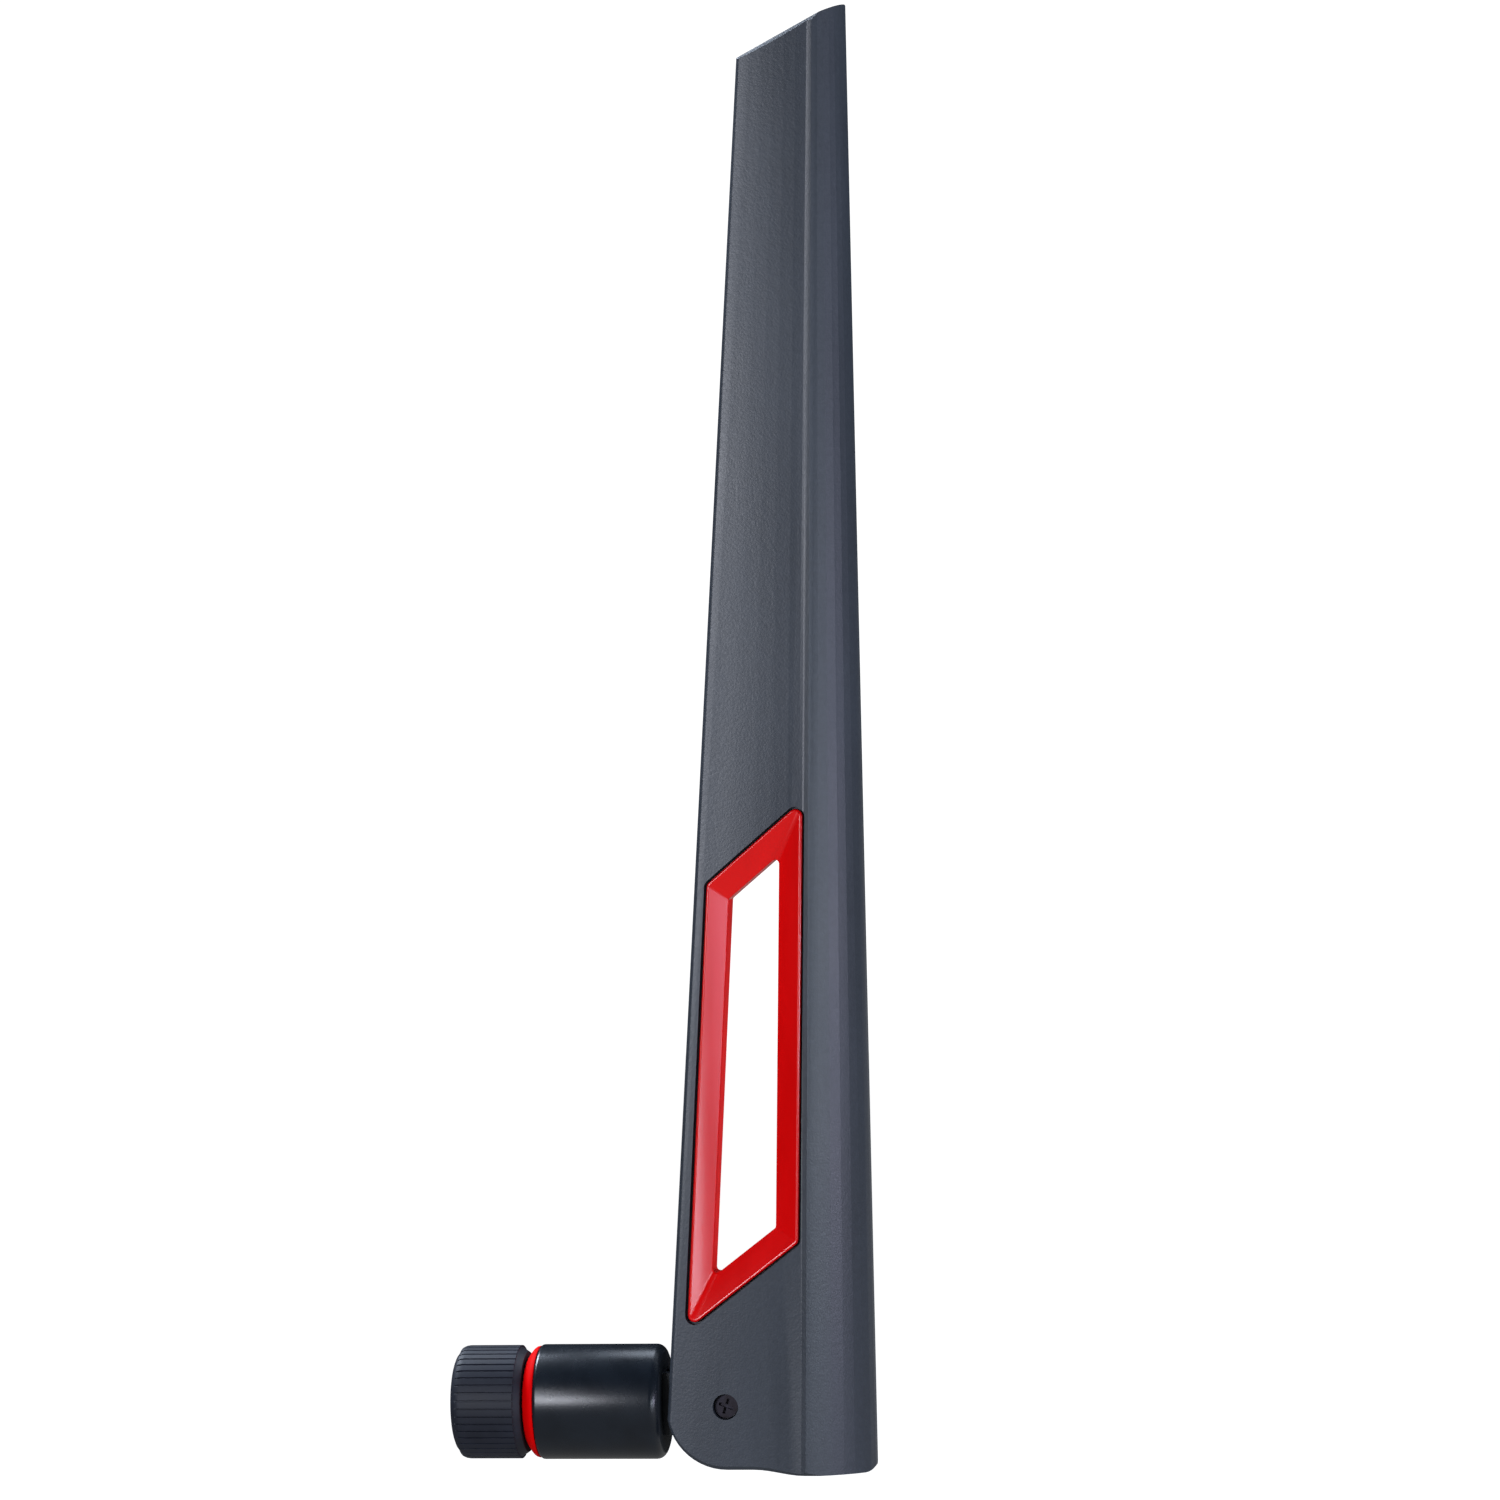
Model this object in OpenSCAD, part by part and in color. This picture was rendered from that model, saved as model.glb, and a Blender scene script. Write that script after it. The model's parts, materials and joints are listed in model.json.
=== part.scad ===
// Hinged paddle antenna for a wireless router.
// The origin is the centre of the coupling nut's mouth. The stem runs along +X, and the blade
// stands along +Z with its front towards -Y. Each blade piece is drawn about the hinge pivot
// and then moved there.

/* [Blade] */
// Hinge pivot to the blade's long rear edge, the spine
pivot_to_spine = 18.8; // [18:0.1:22]
// Hinge pivot to the straight leading edge, which sets the rounded corner too
pivot_to_edge = 7.7; // [7.4:0.05:7.9]
// Height of the pointed tip above the pivot
tip_h = 179.8; // [176:0.5:195]
// How far the tip rises from the leading edge to the spine
tip_rise = 7; // [4:0.25:9]
// Width of the blade at the tip
tip_w = 13.8; // [12.6:0.1:14.6]
// Thickness of the blade at the foot
foot_t = 12; // [11.8:0.1:13]
// Thickness of the blade at the tip
tip_t = 10.4; // [9.6:0.1:11.6]
// How far the rounded corner's centre lies below the pivot
corner_drop = 0.4; // [0.1:0.05:0.4]
// Extra depth of the foot on the spine side
toe_drop = 0.8; // [0.4:0.1:1]
// Width of the bevelled strip at the foot
bevel_foot_w = 8.9; // [8.6:0.1:9.2]
// Width of the bevelled strip at the tip
bevel_tip_w = 3.95; // [3.6:0.05:4.8]
// How steeply the bevelled strip leaves the crease
bevel_fall = 0.25; // [0.15:0.01:0.35]
// Width of the small riser along the crease
crease_step_w = 0.6; // [0.3:0.05:0.7]
// How far the bevelled strip stands up from the flat panel at the crease
crease_step_h = 0.2; // [0.1:0.01:0.25]
// How much the flat panel is crowned across its width
panel_crown = 0.18; // [0.05:0.01:0.25]
// Chamfer round the blade's outline
outline_chamfer = 0.3; // [0.2:0.05:0.35]
// Wall of the two blade halves
shell_wall = 1.6; // [1.4:0.05:1.8]
// Radius along the leading edge
edge_r = 0.6; // [0.3:0.05:0.9]

/* [Window] */
// Height of the window's lowest corner above the pivot
window_z = 9.8; // [9.6:0.1:11]
// Length of the window's left side
window_side = 57.2; // [50:0.2:62]
// Slant of the window's bottom, in degrees
window_foot_slant = 37.1; // [34:0.1:38]
// Slant of the window's top, in degrees
window_top_slant = 39.8; // [37:0.1:41]
// Margin from the leading edge to the window at its bottom
margin_low = 2.15; // [2:0.05:2.6]
// Margin from the leading edge to the window at its top
margin_high = 1.8; // [1.7:0.05:2.2]
// Margin from the window's lower right corner to the crease
crease_margin_low = 0.8; // [0.7:0.05:1]
// Margin from the window's upper right corner to the crease
crease_margin_high = 0.5; // [0.4:0.05:0.7]
// Width of the frame's bar on the leading side
bar_lead = 2.7; // [2.4:0.05:2.8]
// Width of the frame's bar on the spine side
bar_spine = 3.2; // [2.8:0.05:3.3]
// Width of the frame's top bar
bar_top = 3.15; // [2.8:0.05:3.3]
// Width of the frame's bottom bar
bar_foot = 3.35; // [3:0.05:3.5]
// Depth of the frame's sloped faces
bar_depth = 1.9; // [1.4:0.05:2.4]
// Radius of the frame's outer corners
frame_corner_r = 0.9; // [0.6:0.05:1.1]
// Shadow gap between the frame and the blade
frame_gap = 0.3; // [0.2:0.01:0.35]
// Depth of the shadow gap
frame_gap_depth = 1.1; // [0.8:0.1:1.6]
// Clearance of the frame in the blade, behind the shadow gap
frame_seat_gap = 0.05; // [0.03:0.01:0.08]
// How much wider the rear frame opens than the front one
rear_set_back = 0.6; // [0.3:0.05:0.8]

/* [Hinge] */
// Thickness of the stem's hinge tongue
tongue_t = 6; // [5.6:0.1:6.2]
// Half height of the hinge tongue
tongue_r = 4; // [3.8:0.05:4.1]
// Gap all round the end of the tongue
tongue_gap = 0.4; // [0.35:0.01:0.5]
// Radius of the moulded hinge post
post_r = 2.05; // [1.9:0.01:2.15]
// Running clearance of the hinge post
post_gap = 0.05; // [0.03:0.01:0.07]
// Thickness of each friction washer
washer_t = 0.5; // [0.4:0.05:0.6]
// Free play on each side of a friction washer
washer_play = 0.05; // [0.04:0.01:0.08]
// Gap from the end of the stem to the blade's rounded corner
stem_gap = 0.55; // [0.5:0.01:0.8]
// Width of the cable slot in the tongue
cable_slot = 2.2; // [2:0.05:2.4]
// Radius of the screw's head
screw_head_r = 1.5; // [1.35:0.01:1.52]
// Height of the screw's head
screw_head_h = 0.9; // [0.7:0.05:0.95]
// Radius of the screw's shank
screw_r = 0.9; // [0.8:0.01:1]
// How deep the screw's head sits below the blade's face
screw_sink = 0.75; // [0.4:0.05:0.9]

/* [Stem] */
// Radius of the stem
stem_r = 7.42; // [7.35:0.01:7.8]
// Length of the stem's round barrel
stem_l = 16.4; // [16:0.1:18]
// Wall of the stem
stem_wall = 1.9; // [1.7:0.05:2.1]
// Thickness of the stem's closed end
stem_end_t = 2.5; // [2:0.1:2.8]
// Radius on the stem's hinge end
stem_end_r = 1.2; // [0.8:0.05:1.6]
// Radius on the stem's ring end
stem_front_r = 0.5; // [0.3:0.05:0.7]
// Length of the bush pressed into the stem
bush_l = 7.6; // [7:0.1:8]
// Length of the red ring
ring_l = 1.6; // [1.4:0.05:1.8]
// Radius of the red ring where it meets the stem
ring_r = 7.2; // [7.1:0.01:7.3]
// Radius of the red ring where it faces the nut
ring_nose_r = 5.9; // [5.7:0.05:6.2]

/* [Coupling nut] */
// Length of the ribbed grip
grip_l = 9.3; // [9:0.05:10]
// Radius of the ribbed grip
grip_r = 7.33; // [7.2:0.01:7.4]
// How far the grip stands ahead of the brass nut
grip_lead = 0.5; // [0.3:0.05:0.8]
// Rounding of the grip's front edge
grip_round = 1.7; // [1.2:0.05:2]
// Length of the chamfer at the grip's rear
grip_chamfer = 0.85; // [0.6:0.05:1]
// Number of ribs around the grip
rib_count = 45; // [36:1:50]
// Depth of the grooves between the ribs
rib_depth = 0.28; // [0.2:0.01:0.35]
// Gap between the grip and the red ring
nut_gap = 0.15; // [0.1:0.01:0.3]
// Hexagon of the brass nut, across its flats
nut_af = 8; // [7.8:0.05:8.4]
// Radius of the thread's bore, at the roots
thread_r = 3.2; // [3.19:0.005:3.22]
// Length of the threaded mouth
thread_l = 3.3; // [3:0.05:3.4]
// Radius of the nut's plain rear bore
nut_bore_r = 2.8; // [2.78:0.01:2.84]

/* [Connector] */
// Radius of the connector's front tube
tube_r = 2.29; // [2.25:0.01:2.32]
// Distance from the nut's mouth to the front tube
tube_set_back = 3.5; // [3.45:0.05:3.6]
// Running clearance between the nut and the connector body
nut_play = 0.05; // [0.04:0.01:0.07]
// Radius of the centre contact
contact_r = 0.635; // [0.62:0.005:0.65]
// Radius of the centre contact's socket
socket_r = 0.47; // [0.46:0.005:0.48]
// Depth of the centre contact's socket
socket_l = 2.4; // [2.2:0.1:2.6]
// Radius of the white insulator
dielectric_r = 2.05; // [2:0.01:2.06]
// Radius of the spigot that the stem turns on
spigot_r = 2.6; // [2.55:0.01:2.65]
// Running clearance of the bush on the spigot
spigot_gap = 0.05; // [0.03:0.01:0.08]
// Radius of the connector's flange
flange_r = 4.4; // [4.2:0.05:4.5]
// Radius of the coaxial cable
cable_r = 0.7; // [0.6:0.01:0.72]

/* [Board] */
// Width of the circuit board
board_w = 7.6; // [7:0.1:8]
// Thickness of the circuit board
board_t = 0.8; // [0.6:0.05:1]
// Gap from the wall round the window to the board's lower end
board_window_gap = 4.5; // [3:0.25:7]
// Height of the cable's joint above the board's lower end
feed_rise = 29; // [26:0.5:32]
// Gap from the board's upper end to the top of the cavity
board_tip_gap = 6; // [4:0.5:8]
// Distance from each end of the board to the rib that carries it
rib_from_end = 11; // [8:0.5:13]
// Thickness of the copper, drawn thicker than real so that it shows
copper_t = 0.05; // [0.04:0.01:0.08]
// Width of the radiating copper
copper_w = 3.9; // [3.6:0.1:4.2]
// Width of each of the two lower copper strips
copper_strip_w = 1.4; // [1.2:0.05:1.6]
// Length of the copper arm above the feed
copper_arm_l = 26; // [20:0.5:28]
// Length of the copper patch at the board's upper end
copper_patch_l = 12; // [8:0.5:14]
// Distance from the copper to the board's ends
copper_margin = 1.5; // [1:0.1:3]
// Thickness of the ribs that carry the board
rib_t = 1.4; // [1:0.1:1.8]
// Radius of the pegs that locate the board
peg_r = 0.8; // [0.7:0.01:0.85]
// Clearance of the board on its pegs
peg_gap = 0.1; // [0.05:0.01:0.15]
// Gap from the foam pads to the cable's joint below and to the rib above
pad_end_gap = 2.5; // [2:0.25:4]

/* [Hidden] */

// A cut runs this far past the face that it opens
past = 1;
// A cut or a filler that is only trimmed by others reaches this far
far = 60;
round_fn = 96;
small_fn = 48;

// Places along the stem, from the nut's mouth
grip_x1 = grip_l - grip_lead;
ring_x0 = grip_x1 + nut_gap;
stem_x0 = ring_x0 + ring_l;
stem_x1 = stem_x0 + stem_l;

// The blade's straight lines: each is x at the pivot's height and x gained per unit of height
spine_x = pivot_to_spine;
tip_edge_h = tip_h - tip_rise;
edge_lean = (spine_x - tip_w + pivot_to_edge) / tip_edge_h;
function edge_x(z) = -pivot_to_edge + edge_lean * z;
foot_corner_r = (pivot_to_edge + edge_lean * corner_drop) * cos(atan(edge_lean));
foot_z = -corner_drop - foot_corner_r;
toe_z = foot_z - toe_drop;
crease_lean = (bevel_foot_w - bevel_tip_w) / (tip_h - toe_z);
function crease_x(z) = spine_x - bevel_foot_w + crease_lean * (z - toe_z);
function half_t(z) = (foot_t + (tip_t - foot_t) * (z - toe_z) / (tip_h - toe_z)) / 2;

// The round corner reaches furthest from the pivot straight below it
corner_reach = foot_corner_r + corner_drop;
pivot_x = stem_x1 + corner_reach + stem_gap;

// Rounded corners and the toe's step in the blade's outline
toe_start = 3.5;
toe_end = 10;
toe_corner_r = 1.3;
tip_edge_r = 0.8;
corner_steps = 6;
// An odd number, so that no two neighbouring sides of the outline lie in one line
toe_steps = 7;

function unit(v) = v / norm(v);
function cross2(a, b) = a.x * b.y - a.y * b.x;
function smooth(t) = t * t * (3 - 2 * t);

function arc(centre, r, from, to, steps) =
    [for (i = [0:steps]) centre + r * [cos(from + (to - from) * i / steps),
                                       sin(from + (to - from) * i / steps)]];

// Fillet of radius r at the corner b of the path a, b, c
function fillet(a, b, c, r, steps = corner_steps) =
    let (u = unit(a - b), w = unit(c - b), half = acos(u * w) / 2,
         centre = b + unit(u + w) * r / sin(half),
         s = b + u * r / tan(half) - centre, e = b + w * r / tan(half) - centre,
         from = atan2(s.y, s.x), turn = (atan2(e.y, e.x) - from + 540) % 360 - 180)
    arc(centre, r, from, from + turn, steps);

function rounded(path, r, steps = corner_steps) =
    let (n = len(path))
    [for (i = [0:n - 1]) each fillet(path[(i + n - 1) % n], path[i], path[(i + 1) % n], r, steps)];

// Moves side i of a counterclockwise outline inwards by d[i] and meets the sides again
function inset(path, d) =
    let (n = len(path),
         dir = [for (i = [0:n - 1]) unit(path[(i + 1) % n] - path[i])],
         on = [for (i = [0:n - 1]) path[i] + d[i] * [-dir[i].y, dir[i].x]])
    [for (i = [0:n - 1]) let (j = (i + n - 1) % n)
        on[j] + dir[j] * cross2(on[i] - on[j], dir[i]) / cross2(dir[j], dir[i])];

function grown(path, d) = inset(path, [for (p = path) -d]);

// The blade's outline, seen from the front
blade_outline = concat(
    arc([0, -corner_drop], foot_corner_r, 180 - atan(edge_lean), 270, 14),
    [for (i = [0:toe_steps]) [toe_start + (toe_end - toe_start) * i / toe_steps,
                              foot_z - toe_drop * smooth(i / toe_steps)]],
    fillet([0, toe_z], [spine_x, toe_z], [spine_x, 0], toe_corner_r),
    [[spine_x, tip_h]],
    fillet([spine_x, tip_h], [spine_x - tip_w, tip_edge_h], [edge_x(0), 0], tip_edge_r));

// The window's outline, counterclockwise from its lowest corner: foot, spine, top and lead sides
window_x0 = edge_x(window_z) + margin_low;
window_top_z = window_z + window_side;
window_x1 = edge_x(window_top_z) + margin_high;
function at_crease(x0, z0, slant, margin) =
    let (z = (z0 + (crease_x(0) - margin - x0) * tan(slant)) / (1 - crease_lean * tan(slant)))
    [crease_x(z) - margin, z];
window = [[window_x0, window_z],
          at_crease(window_x0, window_z, window_foot_slant, crease_margin_low),
          at_crease(window_x1, window_top_z, window_top_slant, crease_margin_high),
          [window_x1, window_top_z]];
window_inner = inset(window, [bar_foot, bar_spine, bar_top, bar_lead]);
window_rib_t = 1.2;
window_rib_gap = frame_gap + window_rib_t;
window_rib = grown(window, window_rib_gap);
inner_corner_r = 0.5;
frame_sink = 0.15;
frame_rim = 0.3;

// The hinge block is solid around the tongue's slot
slot_half = tongue_t / 2 + 2 * washer_play + washer_t;
slot_r = tongue_r + tongue_gap;
hinge_top = slot_r + shell_wall;
hinge_side = slot_r + shell_wall + 0.2;
washer_out_r = tongue_r - 0.2;
washer_in_r = post_r + 0.1;
screw_recess_r = screw_head_r + 0.15;
screw_floor = foot_t / 2 - screw_sink - screw_head_h;
screw_bite = 1.8;

// The blade's section at height z, from the parting plane round the front to the spine
bevel_steps = 8;
edge_draft = 0.15;
function bevel(x0, x1, h, steps) =
    [for (i = [0:steps]) let (a = 90 * i / steps)
        [x0 + (x1 - x0) * sin(a), -h * (1 - bevel_fall * sin(a)) * cos(a)]];
panel_steps = 6;
function panel(x0, x1, h) =
    [for (i = [1:panel_steps]) let (t = i / panel_steps)
        [x0 + (x1 - x0) * t, -h - panel_crown * 4 * t * (1 - t)]];
function outer_section(z) =
    concat([[edge_x(z), 0]],
           arc([edge_x(z) + edge_draft + edge_r, -half_t(z) + edge_r], edge_r, 180, 270, 4),
           panel(edge_x(z) + edge_draft + edge_r, crease_x(z) - crease_step_w / 2, half_t(z)),
           bevel(crease_x(z) + crease_step_w / 2, spine_x, half_t(z) + crease_step_h, bevel_steps));
function cavity_section(z) =
    concat([[edge_x(z) + shell_wall, past], [edge_x(z) + shell_wall, shell_wall - half_t(z)]],
           bevel(crease_x(z) - shell_wall / 3, spine_x - shell_wall, half_t(z) - shell_wall, 4),
           [[spine_x - shell_wall, past]]);

// Solid between stacked rings of points, closed at both ends
module stacked(rings) {
    n = len(rings[0]);
    m = len(rings);
    polyhedron(points = [for (r = rings) each r],
        faces = concat([[for (i = [0:n - 1]) i]],
            [for (k = [0:m - 2]) for (i = [0:n - 1]) let (j = (i + 1) % n)
                each [[k * n + i, (k + 1) * n + i, (k + 1) * n + j],
                      [k * n + i, (k + 1) * n + j, k * n + j]]],
            [[for (i = [n - 1:-1:0]) (m - 1) * n + i]]));
}

// Solid ring whose section runs through rings of points and back to the first
module looped(rings) {
    n = len(rings[0]);
    m = len(rings);
    polyhedron(points = [for (r = rings) each r],
        faces = [for (k = [0:m - 1]) for (i = [0:n - 1])
            let (j = (i + 1) % n, l = (k + 1) % m)
                each [[k * n + i, l * n + i, l * n + j], [k * n + i, l * n + j, k * n + j]]]);
}

// Turned about the stem's axis: points are [radius, place along X]
module turned(points, fn = round_fn) {
    rotate([0, 90, 0]) rotate_extrude($fn = fn) polygon(points);
}

module tube_x(r, x0, x1, fn = small_fn) {
    translate([x0, 0, 0]) rotate([0, 90, 0]) cylinder(r = r, h = x1 - x0, $fn = fn);
}

// Cylinder along Y from y0 to y1
module along_y(r, y0, y1, fn = small_fn) {
    translate([0, y1, 0]) rotate([90, 0, 0]) cylinder(r = r, h = y1 - y0, $fn = fn);
}

// An outline of [x, z] points, extruded from y0 to y1
module plate(outline, y0, y1) {
    translate([0, y1, 0]) rotate([90, 0, 0]) linear_extrude(height = y1 - y0) polygon(outline);
}

// Coupling nut

module nut_grip() {
    color([0.16, 0.17, 0.21]) {
        difference() {
            union() {
                turned(concat([[0, -grip_lead]],
                    arc([grip_r - rib_depth - grip_round, grip_round - grip_lead],
                        grip_round, -90, 0, 6),
                    [[grip_r - rib_depth, grip_x1 - grip_chamfer],
                     [grip_r - grip_chamfer, grip_x1], [0, grip_x1]]));
                intersection() {
                    turned(concat([[0, -grip_lead]],
                        arc([grip_r - grip_round, grip_round - grip_lead], grip_round, -90, 0, 6),
                        [[grip_r, grip_x1 - grip_chamfer],
                         [grip_r - grip_chamfer, grip_x1], [0, grip_x1]]));
                    grip_ribs();
                }
            }
            tube_x(nut_af / sqrt(3), -grip_lead - past, coupling_nut_x1 - nut_neck_l, 6);
            tube_x(nut_neck_r, -grip_lead - past, grip_x1 + past);
        }
    }
}

// The ribs' star-shaped section over the length that they run
module grip_ribs() {
    pitch = 360 / rib_count;
    translate([grip_rib_x0, 0, 0]) rotate([90, 0, 90])
        linear_extrude(height = grip_rib_x1 - grip_rib_x0)
            polygon([for (i = [0:rib_count - 1]) for (s = [-1, 1]) for (e = [0, 1])
                let (side = s * (e == (s + 1) / 2 ? 0.42 : 0.32) * pitch,
                     r = e == (s + 1) / 2 ? grip_r - rib_depth - 0.1 : grip_r + past)
                    r * [cos(i * pitch + side), sin(i * pitch + side)]]);
}
grip_rib_x0 = grip_round * 0.45 - grip_lead;
grip_rib_x1 = grip_x1 - grip_chamfer;

coupling_nut_x1 = grip_x1 - 0.1;
nut_neck_l = 0.9;
nut_neck_r = nut_af / 2 - 0.5;
thread_relief_r = thread_r + 0.25;
snap_x0 = 6;
snap_x1 = 6.9;
snap_ring_t = 0.8;
snap_floor_r = nut_bore_r - nut_play - 0.4;
snap_roof_r = nut_bore_r + 0.65;

module coupling_nut() {
    color([0.78, 0.62, 0.3]) {
        difference() {
            union() {
                tube_x(nut_af / sqrt(3), 0, coupling_nut_x1 - nut_neck_l, 6);
                tube_x(nut_neck_r, coupling_nut_x1 - nut_neck_l - past, coupling_nut_x1);
            }
            tube_x(thread_r, -past, thread_l);
            tube_x(thread_relief_r, thread_l, thread_l + 1.2);
            tube_x(nut_bore_r, thread_l, coupling_nut_x1 + past);
            tube_x(snap_roof_r, snap_x0, snap_x1);
        }
    }
}

// Open ring that rides in the facing grooves of the nut and the connector body
module snap_ring() {
    color([0.75, 0.75, 0.72]) {
        difference() {
            tube_x(snap_roof_r - 0.06, snap_x0 + 0.05, snap_x0 + 0.05 + snap_ring_t);
            tube_x(snap_floor_r + 0.06, snap_x0 - past, snap_x1 + past);
            translate([snap_x0 - past, -0.5, 0]) cube([snap_x1 - snap_x0 + 2 * past, 1, far]);
        }
    }
}

// Connector

body_r = nut_bore_r - nut_play;
body_x0 = tube_set_back + 1.3;
flange_x0 = coupling_nut_x1 + 0.2;
flange_x1 = ring_x0 + 0.75;
bush_x0 = flange_x1 + 0.1;
bush_x1 = stem_x0 + bush_l;
swivel_washer_t = 0.5;
clip_x0 = bush_x1 + swivel_washer_t + 0.15;
clip_t = 0.6;
clip_groove_r = spigot_r - 0.45;
spigot_x1 = clip_x0 + clip_t + 0.6;
tail_r = cable_r + 0.6;
tail_l = 2.8;
tail_x1 = spigot_x1 + tail_l;
cable_bore_r = cable_r + 0.06;
dielectric_x1 = flange_x1;
cable_x0 = dielectric_x1 + 0.1;

module connector_body() {
    color([0.82, 0.66, 0.34]) {
        difference() {
            union() {
                tube_x(tube_r, tube_set_back, body_x0 + past);
                tube_x(body_r, body_x0, flange_x0 + 0.1);
                tube_x(flange_r, flange_x0, flange_x1);
                tube_x(spigot_r, flange_x1 - 0.1, spigot_x1);
                tube_x(tail_r, spigot_x1 - 0.1, tail_x1);
            }
            tube_x(dielectric_r, tube_set_back - past, dielectric_x1);
            tube_x(cable_bore_r, tube_set_back, tail_x1 + past);
            groove(snap_floor_r, body_r + past, snap_x0, snap_x1);
            groove(clip_groove_r, spigot_r + past, clip_x0 - 0.05, clip_x0 + clip_t + 0.05);
        }
    }
}

module groove(r0, r1, x0, x1) {
    difference() {
        tube_x(r1, x0, x1);
        tube_x(r0, x0 - past, x1 + past);
    }
}

module dielectric() {
    color([0.95, 0.95, 0.92]) {
        difference() {
            tube_x(dielectric_r, tube_set_back, dielectric_x1);
            tube_x(contact_r, tube_set_back - past, dielectric_x1 + past);
        }
    }
}

module centre_contact() {
    color([0.9, 0.75, 0.35]) {
        difference() {
            tube_x(contact_r, tube_set_back + 0.1, dielectric_x1);
            tube_x(socket_r, tube_set_back - past, tube_set_back + 0.1 + socket_l);
        }
    }
}

module crimp_ferrule() {
    color([0.7, 0.7, 0.7]) {
        groove(tail_r, tail_r + 0.5, spigot_x1 + 0.1, tail_x1 + 0.1);
    }
}

module heat_shrink() {
    color([0.08, 0.08, 0.09]) {
        groove(cable_bore_r, tail_r, tail_x1 + 0.15, stem_x1 - stem_end_t - 0.2);
    }
}

// Stem

cavity_r = stem_r - stem_wall;
ring_seat_r = 4.8;

module swivel_bush() {
    color([0.85, 0.85, 0.82]) {
        difference() {
            union() {
                tube_x(ring_seat_r, bush_x0, stem_x0 + 0.1);
                tube_x(cavity_r, stem_x0, bush_x1);
            }
            tube_x(spigot_r + spigot_gap, bush_x0 - past, bush_x1 + past);
        }
    }
}

module accent_ring() {
    color([0.8, 0.02, 0.05]) {
        turned(concat([[ring_seat_r, ring_x0]],
            arc([ring_nose_r - 0.3, ring_x0 + 0.3], 0.3, -90, -40, 3),
            [for (i = [1:5]) [ring_nose_r + (ring_r - ring_nose_r) * sin(18 * i),
                              ring_x0 + 0.15 + (ring_l - 0.35) * i / 5]],
            [[ring_r, stem_x0], [ring_seat_r, stem_x0]]));
    }
}

module swivel_washer() {
    color([0.8, 0.8, 0.78]) {
        groove(spigot_r + 0.1, cavity_r - 0.4, bush_x1 + 0.05, bush_x1 + 0.05 + swivel_washer_t);
    }
}

// Open clip in the spigot's groove
module swivel_clip() {
    color([0.55, 0.56, 0.58]) {
        difference() {
            groove(clip_groove_r + 0.03, cavity_r - 1.2, clip_x0, clip_x0 + clip_t);
            translate([clip_x0 - past, -1.2, 0]) cube([clip_t + 2 * past, 2.4, far]);
            for (side = [-1, 1])
                translate([clip_x0 - past, 0, 0]) rotate([side * 125, 0, 0])
                    translate([0, -0.8, clip_groove_r + 0.6]) cube([clip_t + 2 * past, 1.6, 0.7]);
        }
    }
}

module stem_barrel() {
    color([0.13, 0.14, 0.17]) {
        difference() {
            union() {
                turned(concat([[0, stem_x0]],
                    arc([stem_r - stem_front_r, stem_x0 + stem_front_r], stem_front_r, -90, 0, 4),
                    arc([stem_r - stem_end_r, stem_x1 - stem_end_r], stem_end_r, 0, 90, 6),
                    [[0, stem_x1]]));
                translate([stem_x1 - past, -tongue_t / 2, -tongue_r])
                    cube([pivot_x - stem_x1 + past, tongue_t, 2 * tongue_r]);
                translate([pivot_x, 0, 0]) along_y(tongue_r, -tongue_t / 2, tongue_t / 2, round_fn);
            }
            tube_x(cavity_r, stem_x0 - past, stem_x1 - stem_end_t);
            tube_x(cable_slot / 2, stem_x0, stem_x1 + past);
            translate([pivot_x, 0, 0])
                along_y(post_r + post_gap, -tongue_t / 2 - past, tongue_t / 2 + past);
            translate([stem_x1, -cable_slot / 2, -cable_slot / 2])
                cube([pivot_x - stem_x1 + tongue_r + past, cable_slot, far]);
        }
    }
}

// Hinge, drawn about the pivot

module hinge_washer() {
    difference() {
        along_y(washer_out_r, 0, washer_t);
        along_y(washer_in_r, -past, washer_t + past);
    }
}

module friction_washer_front() {
    color([0.9, 0.9, 0.88])
        translate([pivot_x, -tongue_t / 2 - washer_play - washer_t, 0]) hinge_washer();
}

module friction_washer_rear() {
    color([0.9, 0.9, 0.88])
        translate([pivot_x, tongue_t / 2 + washer_play, 0]) hinge_washer();
}

module pivot_screw() {
    cross_w = 0.4;
    cross_l = 2;
    cross_h = 0.55;
    color([0.1, 0.1, 0.12]) {
        translate([pivot_x, 0, 0]) difference() {
            union() {
                along_y(screw_head_r, -screw_floor - screw_head_h, -screw_floor);
                along_y(screw_r, -screw_floor - 0.1, slot_half + screw_bite);
            }
            for (turn = [20, 110])
                rotate([0, turn, 0])
                    translate([-cross_l / 2, -screw_floor - screw_head_h - past, -cross_w / 2])
                        cube([cross_l, cross_h + past, cross_w]);
        }
    }
}

// Blade

// Front half of the blade as a full solid: the lofted section, trimmed to the outline
module half_solid() {
    intersection() {
        stacked([for (z = [toe_z - past, tip_h + past])
            [for (p = outer_section(z)) [p.x, p.y, z]]]);
        plate(blade_outline, -foot_t, past);
        chamfered_outline();
    }
}

// Block round the outline whose front rim leans in at 45 degrees and leaves the chamfer
module chamfered_outline() {
    rise = max(crease_step_h, panel_crown) + 0.05;
    wide = grown(blade_outline, outline_chamfer);
    narrow = grown(blade_outline, -outline_chamfer - rise);
    stacked([[for (p = wide) [p.x, past, p.y]],
             [for (p = wide) [p.x, 2 * outline_chamfer - half_t(p.y), p.y]],
             [for (p = narrow) [p.x, -half_t(p.y) - rise, p.y]]]);
}

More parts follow.
